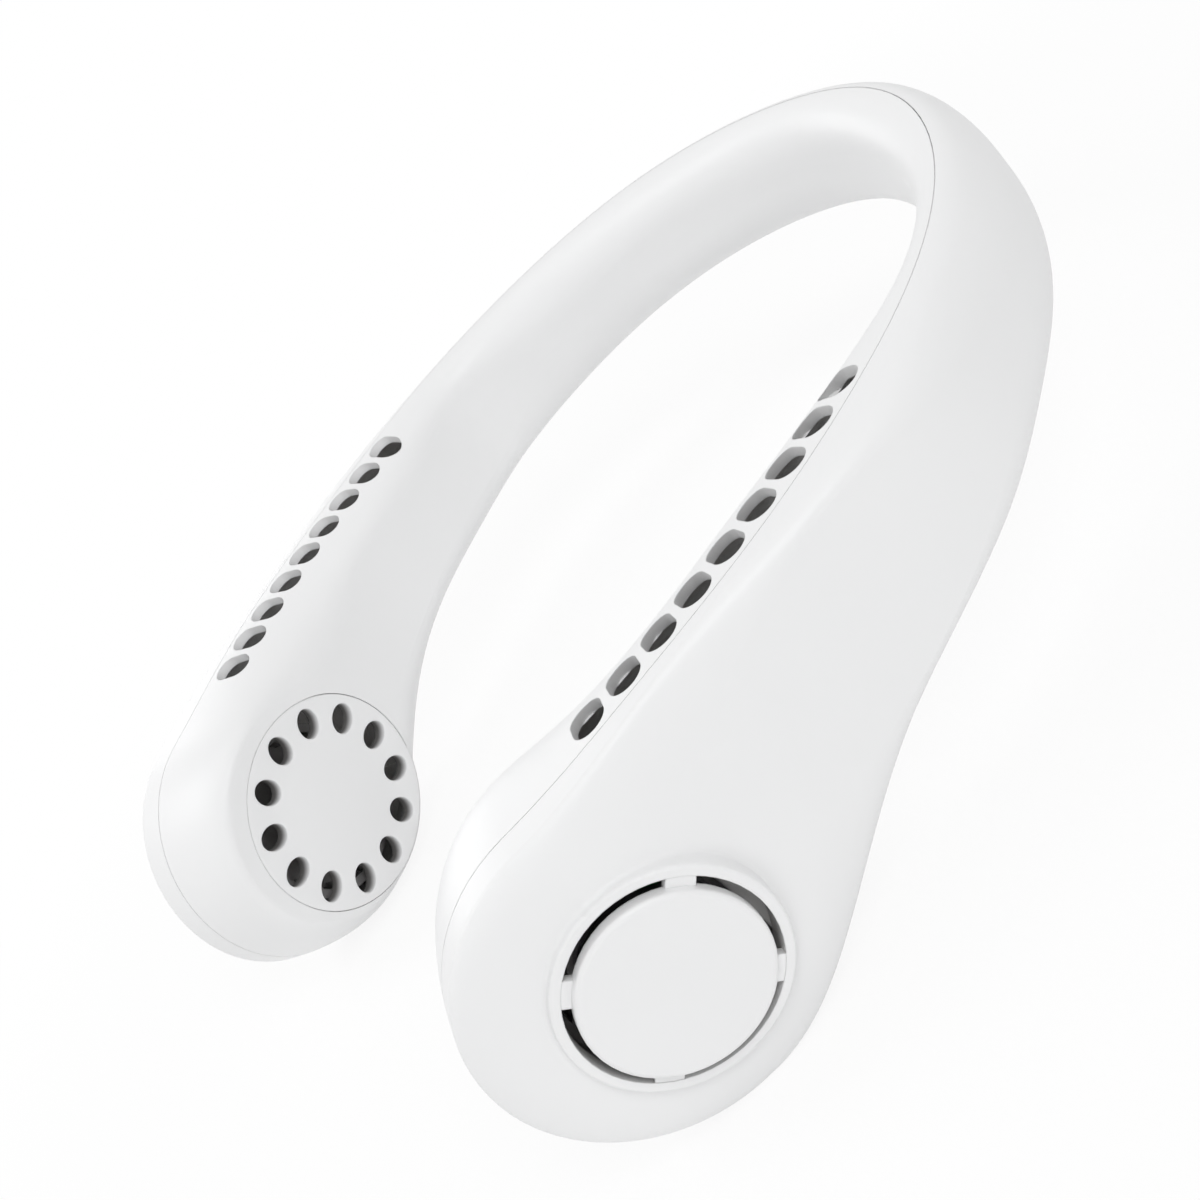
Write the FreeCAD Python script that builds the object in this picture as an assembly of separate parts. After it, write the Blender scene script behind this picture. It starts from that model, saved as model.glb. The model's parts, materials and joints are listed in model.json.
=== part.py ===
import FreeCAD
import Part
import math
import os
from collections import namedtuple
from FreeCAD import Vector

# Electric neck fan: a rigid U housing with a blower pod at the front end of each arm.
# Millimetres. +Z is up as worn, -Y is the open front, +X is the right arm seen from the front.
# The origin lies under the middle of the housing, at the height of the lowest point of the pods.

# Plan of the parting line between the two shells: one rear arc and a flatter arc along each side
rear_radius = 87.2
side_radius = 183.0
join_angle = 5.8
toe_angle = 23.8
nape_y = 97.43
seam_gap = 0.12

# Pods. The inner face is a plane that leans in at the top and swings in towards the rear,
# both given as slopes. The widest rim lies outside the parting line by the crown offset.
# The blower axis lies behind and below the centre of the round end.
pod_radius = 29.2
pod_inner_depth = 18.9
pod_outer_depth = 8.4
pod_plateau = 24.0
pod_outer_flat = 19.0
pod_crown = 5.8
pod_blend = 3.0
inner_lean = 0.11
inner_swing = 0.13
axis_back = 2.3
axis_drop = 2.0
pod_front_steps = 10

# Housing walls
wall = 2.0
corner_fullness = 0.6
joint_tolerance = 0.005

# Raised intake disc on the outer face of each pod
boss_top = 9.8
boss_rim_width = 1.8
boss_rim_round = 0.6
boss_foot_round = 0.7
intake_outer_radius = 17.0
intake_slot = 1.6
disc_rise = 1.7
disc_thickness = 2.6
disc_edge_round = 0.9
bridge_count = 4
bridge_first = 45.0
bridge_width = 4.6
bridge_thickness = 1.6
bridge_sink = 0.1

# Grille in the inner face of each pod
grille_radius = 23.3
grille_thickness = 1.8
grille_clearance = 0.1
grille_hole_circle = 18.0
grille_hole_count = 12
grille_hole_length = 6.8
grille_hole_width = 5.2
grille_hole_flare = 0.5
ledge_width = 1.5
ledge_thickness = 1.4
ledge_root = 0.8
hook_count = 4
hook_width = 3.0
hook_thickness = 1.0
hook_barb = 0.6

# Air slots along the top of each arm
slot_count = 9
slot_pitch = 8.36
slot_first_along = 20.7
slot_offset = 6.0
slot_length = 9.0
slot_width = 6.3
slot_slant = 80.0
slot_tilt = 15.0
slot_depth = 5.0

# Walls that steer the air
cutoff_gap = 0.8
cutoff_thickness = 1.2
cutoff_from = 285.0
cutoff_to = 330.0
partition_along = 98.0
partition_thickness = 1.6

# Motor, measured along the blower axis
post_count = 3
post_radius = 2.2
post_circle = 11.0
post_height = 3.4
base_radius = 13.2
base_thickness = 1.2
tube_radius = 3.0
tube_bore = 2.0
tube_length = 10.1
motor_screw_radius = 0.8
motor_screw_bite = 2.0
motor_screw_head = 1.5
motor_screw_head_height = 0.9
thread_clearance = 0.02
stator_board_radius = 9.0
stator_board_thickness = 1.0
stator_tab_width = 4.0
stator_tab_angle = 60.0
stator_tab_margin = 1.3
seat_clearance = 0.02
core_radius = 9.8
core_thickness = 4.5
core_drop = 3.2
core_hub_radius = 5.0
tooth_count = 9
tooth_width = 2.0
tooth_tip_depth = 1.1
tooth_tip_width = 5.6
coil_height = 1.0
coil_side = 0.7
coil_gap = 0.3
coil_clearance = 0.03
air_gap = 0.4
magnet_thickness = 1.5
magnet_length = 6.0
magnet_drop = 0.6
cup_wall = 0.8
cup_floor = 1.0
cup_round = 0.8
cup_length = 8.8
cup_rim_drop = 1.7
shaft_radius = 0.75
shaft_length = 10.6
running_clearance = 0.02
bearing_length = 2.5

# Impeller
impeller_radius = 19.4
blade_inner_radius = 15.8
blade_count = 24
blade_thickness = 0.8
blade_sweep = 12.0
blade_half_sweep = 4.2
impeller_top = -1.8
impeller_length = 9.4
end_ring_width = 2.0
end_ring_thickness = 0.9
ring_overlap = 0.3
hub_wall = 1.1
web_thickness = 1.2
press_clearance = 0.03

# Battery cell in each rear arm
battery_along = 165.0
battery_length = 34.0
battery_height = 14.0
battery_thickness = 6.5
battery_side_gap = 1.55
battery_round = 2.0
battery_clearance = 0.1
cradle_spacing = 22.0
cradle_thickness = 1.5

# Circuit board in the left arm, with the button, light and charging socket
board_along = 124.0
board_length = 26.0
board_height = 16.0
board_gap = 2.6
board_thickness = 1.0
board_tab_width = 11.0
board_tab_drop = 1.8
board_screw_spread = 21.0
board_screw_rise = 4.5
board_boss_radius = 1.8
board_screw_radius = 0.7
board_screw_bite = 2.2
board_screw_head = 1.3
board_screw_head_height = 0.8
button_shift = 3.5
button_radius = 4.0
button_clearance = 0.15
button_flange = 0.9
button_flange_thickness = 0.7
button_flange_gap = 0.5
button_proud = 0.4
button_edge_round = 0.5
button_recess_radius = 3.1
button_travel = 0.4
button_slack = 0.05
switch_size = 4.0
switch_height = 0.8
plunger_radius = 1.2
plunger_height = 0.4
light_shift = -6.0
light_radius = 1.0
light_clearance = 0.05
light_chip_size = 1.6
light_chip_height = 0.6
usb_width = 8.94
usb_thickness = 3.2
usb_depth = 7.3
usb_wall = 0.3
usb_floor = 1.0
usb_recess = 1.0
usb_tongue = 0.7
usb_tongue_width = 6.6
usb_tongue_short = 1.2
usb_port_clearance = 0.2
chip_height = 1.0
chip_sizes = ((5.0, 5.0, -6.5, 1.0), (3.0, 4.0, 7.5, 3.5), (2.0, 1.2, 1.0, 5.5))

# Leads
lead_radius = 0.7
lead_offset = 0.6
second_lead_offset = -1.2
battery_lead_offset = -2.4
lead_rise = 3.6
lead_bend = 1.8
lead_drop_bend = 1.3
lead_tail = 3.0
lead_clearance = 0.1
lead_board_inset = 2.2
battery_lead_inset = 6.0
battery_lead_rise = 6.0
clip_length = 2.0
clip_height = 4.4
clip_reach = 1.6
clip_alongs = (40.0, 68.0)

# Cross-sections of the right arm from the pod to the nape. along: distance from the pod centre on the
# parting line. top, bottom: heights. inner, outer: reach either side of the parting line at mid height.
# inner_flat, outer_flat: half heights of the flat stretches of the two sides. lean: slope of the inner
# face. crown: offset of the top and bottom ridges from the parting line.
Section = namedtuple("Section", "along top bottom inner outer inner_flat outer_flat lean crown")
side_length = side_radius * math.radians(toe_angle + join_angle)
half_length = side_length + rear_radius * math.radians(90.0 - join_angle)


def plateau_depth(along, middle):
    """Reach of the plane inner face of the pod at a height, measured from the curved parting line."""
    swing = inner_swing * along - along * along / (2.0 * side_radius)
    return pod_inner_depth + swing + inner_lean * (middle - pod_radius)


pod_section = Section(0.0, 2.0 * pod_radius, 0.0, pod_inner_depth, pod_outer_depth,
                      pod_plateau, pod_outer_flat, inner_lean, pod_crown)
blend_section = pod_section._replace(along=pod_blend, inner=plateau_depth(pod_blend, pod_radius))
throat_section = Section(26.0, 59.2, 7.6, plateau_depth(26.0, 33.4), 5.8, 13.0, 15.0, inner_lean, 3.5)
board_section = Section(128.0, 60.3, 30.6, 7.6, 8.0, 4.6, 2.4, 0.0, 0.0)
battery_section = Section(176.0, 61.6, 34.4, 9.2, 5.8, 4.3, 2.3, 0.0, 0.0)
nape_section = Section(half_length, 61.5, 34.9, 7.4, 5.0, 2.5, 2.3, 0.0, 0.0)
arm_sections = [
    pod_section,
    blend_section,
    throat_section,
    Section(56.0, 59.3, 21.9, 18.3, 6.2, 10.5, 15.5, 0.06, 2.0),
    Section(88.0, 59.5, 26.7, 14.3, 8.9, 8.5, 9.8, 0.04, 1.0),
    Section(108.0, 59.9, 28.8, 8.5, 7.7, 9.0, 5.5, 0.0, 0.0),
    board_section,
    battery_section,
    nape_section,
]


def spine(along):
    """Point, rearward tangent and outward normal of the right half of the parting line."""
    rear_centre = Vector(0, nape_y - rear_radius, 0)
    join = math.radians(join_angle)
    toe = math.radians(toe_angle)
    if along > side_length:
        turn = join + (along - side_length) / rear_radius
        radius = rear_radius
        centre = rear_centre
    else:
        turn = max(along, 0.0) / side_radius - toe
        radius = side_radius
        centre = rear_centre + Vector(math.cos(join), math.sin(join), 0) * (rear_radius - side_radius)
    normal = Vector(math.cos(turn), math.sin(turn), 0)
    tangent = Vector(-math.sin(turn), math.cos(turn), 0)
    point = centre + normal * radius + tangent * min(along, 0.0)
    return point, tangent, normal


def spine_point(along, offset, height):
    point, tangent, normal = spine(along)
    return point + normal * offset + Vector(0, 0, height)


def place(shape, along, height):
    """Move a shape from local axes (x rearward, y up, z outward) to a station of the right arm."""
    point, tangent, normal = spine(along)
    point = point + Vector(0, 0, height)
    matrix = FreeCAD.Matrix(
        tangent.x, 0, normal.x, point.x,
        tangent.y, 0, normal.y, point.y,
        tangent.z, 1, normal.z, point.z,
        0, 0, 0, 1)
    moved = shape.copy()
    moved.Placement = FreeCAD.Placement(matrix).multiply(shape.Placement)
    return moved


def place_axis(shape):
    """Move a shape from axes on the right blower axis (x rearward, y up, z outward) to its place."""
    moved = shape.copy()
    moved.translate(Vector(axis_back, -axis_drop, 0))
    return place(moved, 0.0, pod_radius)


def place_face(shape):
    """Move a shape from axes on the right pod's inner face (z into the pod) to its place."""
    depth = pod_inner_depth + inner_swing * axis_back - inner_lean * axis_drop
    turn = FreeCAD.Rotation(Vector(0, 0, 1), Vector(inner_swing, inner_lean, 1.0))
    moved = shape.copy()
    seat = FreeCAD.Placement(Vector(axis_back, -axis_drop, -depth), turn)
    moved.Placement = seat.multiply(shape.Placement)
    return place(moved, 0.0, pod_radius)


def mirror(shape):
    return shape.mirror(Vector(0, 0, 0), Vector(1, 0, 0))


def bezier(points):
    curve = Part.BezierCurve()
    curve.setPoles(points)
    return curve.toShape()


def corner(crown, side, slope):
    """Rounded corner from the crown of a section, level there, to the end of its sloping side."""
    rise = side.y - crown.y
    reach = side.x + slope * rise - crown.x
    near_crown = crown + Vector(reach * corner_fullness, 0, 0)
    near_side = side + Vector(slope * rise, -rise, 0) * corner_fullness
    return [crown, near_crown, near_side, side]


def section_corners(section, inset):
    """Key points of a cross-section in (offset, height), drawn in by the inset."""
    middle = (section.top + section.bottom) / 2.0
    top = Vector(section.crown, section.top - inset, 0)
    bottom = Vector(section.crown, section.bottom + inset, 0)
    outer = section.outer - inset
    inner = inset - section.inner
    lean = section.lean * section.inner_flat
    outer_top = Vector(outer, middle + section.outer_flat, 0)
    outer_bottom = Vector(outer, middle - section.outer_flat, 0)
    inner_top = Vector(inner - lean, middle + section.inner_flat, 0)
    inner_bottom = Vector(inner + lean, middle - section.inner_flat, 0)
    return top, outer_top, outer_bottom, bottom, inner_bottom, inner_top


def section_wire(section, inset, side):
    top, outer_top, outer_bottom, bottom, inner_bottom, inner_top = section_corners(section, inset)
    curves = [
        corner(top, outer_top, 0.0),
        [outer_top, outer_bottom],
        corner(bottom, outer_bottom, 0.0)[::-1],
        corner(bottom, inner_bottom, section.lean),
        [inner_bottom, inner_top],
        corner(top, inner_top, section.lean)[::-1],
    ]
    edges = []
    for poles in curves:
        placed = []
        for pole in poles:
            point = spine_point(section.along, pole.x, pole.y)
            placed.append(Vector(point.x * side, point.y, point.z))
        edges.append(bezier(placed))
    return Part.Wire(edges)


def pod_front(inset):
    """Front half of a pod: corner curves carried round the round end, closed by two flat faces."""
    rim = Vector(pod_crown, pod_radius - inset, 0)
    wires = []
    for step in range(pod_front_steps + 1):
        turn = math.pi * step / pod_front_steps
        slope = inner_lean * math.cos(turn) - inner_swing * math.sin(turn)
        inner = Vector(inset - pod_inner_depth - slope * pod_plateau, pod_plateau, 0)
        outer = Vector(pod_outer_depth - inset, pod_outer_flat, 0)
        edges = []
        for poles in (corner(rim, inner, slope)[::-1], corner(rim, outer, 0.0)):
            placed = []
            for pole in poles:
                placed.append(Vector(-pole.y * math.sin(turn), pole.y * math.cos(turn), pole.x))
            edges.append(bezier(placed))
        wires.append(Part.Wire(edges))
    skin = Part.makeLoft(wires, False, False)
    first = wires[0].OrderedVertexes
    last = wires[-1].OrderedVertexes
    faces = list(skin.Faces)
    flat_lines = []
    for index in (0, 2):
        ends = (first[index].Point, last[index].Point)
        for edge in skin.Edges:
            tips = [vertex.Point for vertex in edge.Vertexes]
            if max(min(tip.distanceToPoint(end) for tip in tips) for end in ends) < joint_tolerance:
                line = Part.LineSegment(ends[0], ends[1]).toShape()
                flat_lines.append(line)
                faces.append(Part.Face(Part.Wire(Part.__sortEdges__([edge, line]))))
    closing = flat_lines + list(wires[0].Edges) + list(wires[-1].Edges)
    faces.append(Part.Face(Part.Wire(Part.__sortEdges__(closing))))
    shell = Part.makeShell(faces)
    shell.sewShape()
    return Part.makeSolid(shell)


def housing_solid(inset):
    """The whole U, drawn in by the inset: lofted arms and nape, with the round pod fronts."""
    right = [section_wire(section, inset, 1) for section in arm_sections]
    left = [section_wire(section, inset, -1) for section in reversed(arm_sections[:-1])]
    arms = Part.makeLoft(right + left, True, False)
    front = place(pod_front(inset), 0.0, pod_radius)
    return arms.fuse([front, mirror(front)], joint_tolerance)


def plan_block(offset):
    """Tall block that fills the plan inside the parting line moved outward by the offset."""
    front_reach = -2.0 * pod_radius
    stations = [front_reach, 0.0, side_length / 2.0, side_length]
    stations += [(side_length + half_length) / 2.0, half_length]
    points = [spine_point(along, offset, -pod_radius) for along in stations]
    flipped = [Vector(-point.x, point.y, point.z) for point in points]
    edges = [
        Part.LineSegment(points[0], points[1]).toShape(),
        Part.Arc(points[1], points[2], points[3]).toShape(),
        Part.Arc(points[3], points[4], points[5]).toShape(),
        Part.Arc(flipped[5], flipped[4], flipped[3]).toShape(),
        Part.Arc(flipped[3], flipped[2], flipped[1]).toShape(),
        Part.LineSegment(flipped[1], flipped[0]).toShape(),
        Part.LineSegment(flipped[0], points[0]).toShape(),
    ]
    face = Part.Face(Part.Wire(edges))
    return face.extrude(Vector(0, 0, 4.0 * pod_radius))


def cylinder(radius, start, end, x_middle=0.0, y_middle=0.0):
    return Part.makeCylinder(radius, end - start, Vector(x_middle, y_middle, start))


def ring(outer_radius, inner_radius, start, end):
    return cylinder(outer_radius, start, end).cut(cylinder(inner_radius, start, end))


def box(x_size, y_size, z_start, z_end, x_middle=0.0, y_middle=0.0):
    low = Vector(x_middle - x_size / 2.0, y_middle - y_size / 2.0, z_start)
    return Part.makeBox(x_size, y_size, z_end - z_start, low)


def oval_wire(length, width, height):
    """Ellipse with its long axis along x."""
    ellipse = Part.Ellipse(Vector(0, 0, height), length / 2.0, width / 2.0)
    return Part.Wire(ellipse.toShape())


def stadium(length, width, start, end):
    """Upright prism with a round-ended outline, its long axis along x."""
    half = length / 2.0 - width / 2.0
    ends = cylinder(width / 2.0, start, end, half).fuse(cylinder(width / 2.0, start, end, -half))
    return box(2.0 * half, width, start, end).fuse(ends).removeSplitter()


def line(start, end):
    return Part.LineSegment(start, end).toShape()


def quarter_arc(start, end, centre):
    middle = (start + end) * 0.5 - centre
    middle = centre + middle.normalize() * (start - centre).Length
    return Part.Arc(start, middle, end).toShape()


def revolved(edges):
    """Solid of revolution about z of a closed profile drawn in the xz plane."""
    return Part.Face(Part.Wire(edges)).revolve(Vector(0, 0, 0), Vector(0, 0, 1), 360.0)


def round_disc(radius, start, end, edge_round):
    """Disc whose outer edge at the end face is rounded."""
    points = [
        Vector(0, 0, start),
        Vector(radius, 0, start),
        Vector(radius, 0, end - edge_round),
        Vector(radius - edge_round, 0, end),
        Vector(0, 0, end),
    ]
    edges = [line(points[0], points[1]), line(points[1], points[2])]
    edges.append(quarter_arc(points[2], points[3], Vector(radius - edge_round, 0, end - edge_round)))
    edges += [line(points[3], points[4]), line(points[4], points[0])]
    return revolved(edges)


def spun(shape, angle):
    turned = shape.copy()
    turned.rotate(Vector(0, 0, 0), Vector(0, 0, 1), angle)
    return turned


def around(shape, count, first=0.0):
    return [spun(shape, first + 360.0 * index / count) for index in range(count)]


def both_sides(shapes):
    return list(shapes) + [mirror(shape) for shape in shapes]


def joined(shapes):
    return shapes[0].fuse(shapes[1:]).removeSplitter()


def export(name, shape):
    shape.exportStep(os.path.join("parts", name + ".step"))


def export_pair(name, shape):
    export("right_" + name, shape)
    export("left_" + name, mirror(shape))


os.makedirs("parts", exist_ok=True)

# Levels of the motor along the blower axis, from the intake disc inwards
disc_top = boss_top + disc_rise
disc_bottom = disc_top - disc_thickness
base_top = disc_bottom - post_height
base_bottom = base_top - base_thickness
stator_board_bottom = base_bottom - stator_board_thickness
core_top = stator_board_bottom - core_drop
core_bottom = core_top - core_thickness
cup_rim = stator_board_bottom - cup_rim_drop
cup_bottom = cup_rim - cup_length
magnet_outer = core_radius + air_gap + magnet_thickness
cup_radius = magnet_outer + cup_wall
post_first = stator_tab_angle + 180.0 / post_count
axis_height = pod_radius - axis_drop

# Levels of the leads, cells and board
lead_height = battery_section.bottom + wall + lead_rise
battery_bottom = lead_height + lead_drop_bend + lead_radius
battery_middle = battery_bottom + battery_height / 2.0
battery_inner_face = wall + battery_side_gap - battery_section.inner
board_outer_face = board_section.outer - wall - board_gap
board_inner_face = board_outer_face - board_thickness
board_middle = (board_section.top + board_section.bottom) / 2.0
stator_tab_contact = (lead_height - axis_height) / math.sin(math.radians(stator_tab_angle))


def place_board(shape):
    """Move a shape from axes on the board (x rearward, y up, z outward) to the left arm."""
    return mirror(place(shape, board_along, board_middle))


# Motors, one on each intake disc. Base: flange with a tube for the bearings
screw_hole = cylinder(motor_screw_radius + thread_clearance, base_bottom, base_top, post_circle)
base = cylinder(base_radius, base_bottom, base_top)
base = base.fuse(cylinder(tube_radius, base_bottom - tube_length, base_top))
base = base.cut(cylinder(tube_bore, base_bottom - tube_length, base_bottom))
base = base.cut(Part.makeCompound(around(screw_hole, post_count, post_first)))
export_pair("motor_base", place_axis(base.removeSplitter()))

# Motor screws, through the flange into the posts
screw_end = base_top + motor_screw_bite
screw = cylinder(motor_screw_radius, base_bottom - seat_clearance, screw_end, post_circle)
screw_top = base_bottom - seat_clearance
screw_head = cylinder(motor_screw_head, screw_top - motor_screw_head_height, screw_top, post_circle)
screws = around(screw.fuse(screw_head), post_count, post_first)
export_pair("motor_screws", place_axis(Part.makeCompound(screws)))

# Stator board: ring under the flange, with a tab that takes the lead
tab_reach = stator_tab_contact + stator_tab_margin
stator_board_top = base_bottom - seat_clearance
stator_board = cylinder(stator_board_radius, stator_board_bottom, stator_board_top)
tab = box(tab_reach, stator_tab_width, stator_board_bottom, stator_board_top, tab_reach / 2.0)
stator_board = stator_board.fuse(spun(tab, stator_tab_angle))
stator_bore = tube_radius + seat_clearance
stator_board = stator_board.cut(cylinder(stator_bore, stator_board_bottom, stator_board_top))
export_pair("stator_board", place_axis(stator_board.removeSplitter()))

# Stator core: laminated star of teeth with wide tips
tooth_root = core_hub_radius - tooth_tip_depth
tooth_length = core_radius - tooth_tip_depth / 2.0 - tooth_root
tooth = box(tooth_length, tooth_width, core_bottom, core_top, tooth_root + tooth_length / 2.0)
tip_band = ring(core_radius, core_radius - tooth_tip_depth, core_bottom, core_top)
tip = tip_band.common(box(2.0 * core_radius, tooth_tip_width, core_bottom, core_top, core_radius))
core_hub = cylinder(core_hub_radius, core_bottom, core_top)
core = joined([core_hub] + around(tooth, tooth_count) + around(tip, tooth_count))
core = core.cut(cylinder(stator_bore, core_bottom, core_top))
export_pair("stator_core", place_axis(core))

# Coils, one round each tooth
coil_start = core_hub_radius + coil_gap
coil_end = core_radius - tooth_tip_depth - coil_gap
coil_middle = (coil_start + coil_end) / 2.0
coil_depth = coil_end - coil_start
coil_width = tooth_width + 2.0 * (coil_side + coil_clearance)
coil = box(coil_depth, coil_width, core_bottom - coil_height, core_top + coil_height, coil_middle)
coil_bore = box(coil_depth, tooth_width + 2.0 * coil_clearance, core_bottom - coil_clearance,
                core_top + coil_clearance, coil_middle)
coils = around(coil.cut(coil_bore), tooth_count)
export_pair("coils", place_axis(Part.makeCompound(coils)))

# Rotor: cup with a magnet ring, on a shaft in two bearings
cup = round_disc(cup_radius, -cup_rim, -cup_bottom, cup_round)
cup.rotate(Vector(0, 0, 0), Vector(1, 0, 0), 180.0)
cup = cup.cut(cylinder(magnet_outer + seat_clearance, cup_bottom + cup_floor, cup_rim))
cup = cup.cut(cylinder(shaft_radius + press_clearance, cup_bottom, cup_rim))
export_pair("rotor_cup", place_axis(cup))
magnet_top = cup_rim - magnet_drop
magnet = ring(magnet_outer, magnet_outer - magnet_thickness, magnet_top - magnet_length, magnet_top)
export_pair("magnet_ring", place_axis(magnet))
export_pair("shaft", place_axis(cylinder(shaft_radius, cup_bottom, cup_bottom + shaft_length)))
bearing_bore = shaft_radius + running_clearance
bearing_starts = (base_bottom - tube_length, cup_bottom + shaft_length - bearing_length)
bearings = [ring(tube_bore - seat_clearance, bearing_bore, start, start + bearing_length)
            for start in bearing_starts]
export_pair("bearings", place_axis(Part.makeCompound(bearings)))


# Impeller: hub pressed on the cup, web under it, curved blades between two end rings
def polar(radius, angle, height):
    return Vector(radius * math.cos(angle), radius * math.sin(angle), height)


def blade(start, end):
    """Curved blade whose two faces lean apart from one swept line by half its thickness each."""
    blade_tip = impeller_radius - ring_overlap
    radii = (blade_inner_radius, (blade_inner_radius + blade_tip) / 2.0, blade_tip)
    turns = (0.0, math.radians(blade_half_sweep), math.radians(blade_sweep))
    sides = []
    for sign in (-0.5, 0.5):
        sides.append([polar(radius, turn + sign * blade_thickness / radius, start)
                      for radius, turn in zip(radii, turns)])
    front, back = sides
    edges = [
        Part.Arc(front[0], front[1], front[2]).toShape(),
        line(front[2], back[2]),
        Part.Arc(back[2], back[1], back[0]).toShape(),
        line(back[0], front[0]),
    ]
    return Part.Face(Part.Wire(edges)).extrude(Vector(0, 0, end - start))


impeller_bottom = impeller_top - impeller_length
hub_bore = cup_radius + press_clearance
hub_radius = hub_bore + hub_wall
web_top = cup_bottom - seat_clearance
hub_rim = cup_rim - cup_rim_drop
blades = around(blade(impeller_bottom + ring_overlap, impeller_top - ring_overlap), blade_count)
ring_inner = impeller_radius - end_ring_width
end_rings = [
    ring(impeller_radius, ring_inner, impeller_top - end_ring_thickness, impeller_top),
    ring(impeller_radius, ring_inner, impeller_bottom, impeller_bottom + end_ring_thickness),
]
hub = cylinder(hub_radius, web_top - web_thickness, hub_rim).cut(cylinder(hub_bore, web_top, hub_rim))
web = ring(blade_inner_radius + blade_thickness, hub_radius - hub_wall, web_top - web_thickness, web_top)
impeller = joined([hub, web] + end_rings + blades)
export_pair("impeller", place_axis(impeller))

# Grilles: flush discs with flared oval holes, hooked behind a ledge in the inner shell
straight_start = grille_hole_flare * 2.0
flared_length = grille_hole_length + 2.0 * grille_hole_flare
flared_width = grille_hole_width + 2.0 * grille_hole_flare
hole_mouth = Part.makeLoft([oval_wire(flared_length, flared_width, 0.0),
                            oval_wire(grille_hole_length, grille_hole_width, straight_start)], True)
hole_face = Part.Face(oval_wire(grille_hole_length, grille_hole_width, straight_start))
hole = hole_mouth.fuse(hole_face.extrude(Vector(0, 0, grille_thickness - straight_start)))
hole.translate(Vector(grille_hole_circle, 0, 0))
ledge_radius = grille_radius - ledge_width
ledge_end = grille_thickness + seat_clearance + ledge_thickness
hook_outer = ledge_radius - grille_clearance
hook_end = ledge_end + seat_clearance + hook_thickness
hook_middle = hook_outer - hook_thickness / 2.0
hook_stem = box(hook_thickness, hook_width, grille_thickness, hook_end, hook_middle)
hook_tooth = box(hook_thickness + hook_barb, hook_width, ledge_end + seat_clearance, hook_end,
                 hook_middle + hook_barb / 2.0)
hook = hook_stem.fuse(hook_tooth)
hook_first = 180.0 / grille_hole_count
grille = cylinder(grille_radius - grille_clearance, 0.0, grille_thickness)
grille = grille.cut(Part.makeCompound(around(hole, grille_hole_count)))
grille = joined([grille] + around(hook, hook_count, hook_first))
export_pair("grille", place_face(grille))

# Batteries: a flat cell lying in each rear arm
battery = box(battery_length, battery_height, battery_inner_face, battery_inner_face + battery_thickness)
long_edges = [edge for edge in battery.Edges if abs(edge.tangentAt(edge.FirstParameter).x) > 0.9]
battery = place(battery.makeFillet(battery_round, long_edges), battery_along, battery_middle)
export_pair("battery", battery)

# Circuit board, flat against two bosses of the outer shell
usb_end = board_section.bottom + usb_recess - board_middle
usb_shift_z = board_inner_face - usb_thickness / 2.0
board = box(board_length, board_height, board_inner_face, board_outer_face)
tab_top = board_tab_drop - board_height / 2.0
board = board.fuse(box(board_tab_width, 2.0 * board_tab_drop, board_inner_face, board_outer_face,
                       0.0, tab_top - board_tab_drop))
board_screw_places = [(side * board_screw_spread / 2.0, board_screw_rise) for side in (-1, 1)]
for x_place, y_place in board_screw_places:
    board = board.cut(cylinder(board_screw_radius + thread_clearance, board_inner_face, board_outer_face,
                               x_place, y_place))
export("main_board", place_board(board.removeSplitter()))

# Board screws, from the inner side into the bosses
screw_seat = board_inner_face - seat_clearance
screw_tip = board_outer_face + board_screw_bite
board_screws = []
for x_place, y_place in board_screw_places:
    stem = cylinder(board_screw_radius, screw_seat, screw_tip, x_place, y_place)
    head = cylinder(board_screw_head, screw_seat - board_screw_head_height, screw_seat, x_place, y_place)
    board_screws.append(stem.fuse(head))
export("board_screws", place_board(Part.makeCompound(board_screws)))

# Chips on the inner face and the light emitter on the outer face
chips = [box(x_size, y_size, board_inner_face - chip_height, board_inner_face, x_middle, y_middle)
         for x_size, y_size, x_middle, y_middle in chip_sizes]
light_base = board_outer_face + light_chip_height
chips.append(box(light_chip_size, light_chip_size, board_outer_face, light_base, light_shift))
export("board_chips", place_board(Part.makeCompound(chips)))

# Tact switch with its plunger
switch_top = board_outer_face + switch_height
plunger_top = switch_top + plunger_height
switch = box(switch_size, switch_size, board_outer_face, switch_top, button_shift)
switch = switch.fuse(cylinder(plunger_radius, switch_top, plunger_top, button_shift))
export("tact_switch", place_board(switch))

# Power button: a cap that slides in the outer wall, held in by a flange
button_top = board_section.outer + button_proud
flange_top = board_section.outer - wall - button_flange_gap
button = round_disc(button_radius, flange_top - button_flange_thickness, button_top, button_edge_round)
flange_radius = button_radius + button_flange
button = button.fuse(cylinder(flange_radius, flange_top - button_flange_thickness, flange_top))
recess_end = plunger_top + button_travel + button_slack
button = button.cut(cylinder(button_recess_radius, flange_top - button_flange_thickness, recess_end))
button.translate(Vector(button_shift, 0, 0))
export("power_button", place_board(button.removeSplitter()))

# Light pipe from the emitter to the outer face
light_end = board_section.outer - light_shift ** 2 / (2.0 * rear_radius)
light_pipe = cylinder(light_radius, light_base + seat_clearance, light_end, light_shift)
export("light_pipe", place_board(light_pipe))

# Charging socket: round-ended metal tube with a tongue, open downwards
usb = stadium(usb_width, usb_thickness, 0.0, usb_depth)
usb_inside = stadium(usb_width - 2.0 * usb_wall, usb_thickness - 2.0 * usb_wall, usb_floor, usb_depth)
usb_tongue_end = usb_depth - usb_tongue_short
usb = usb.cut(usb_inside).fuse(box(usb_tongue_width, usb_tongue, usb_floor / 2.0, usb_tongue_end))
usb.rotate(Vector(0, 0, 0), Vector(1, 0, 0), 90.0)
usb.translate(Vector(0, usb_end + usb_depth, usb_shift_z))
export("usb_socket", place_board(usb))


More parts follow.
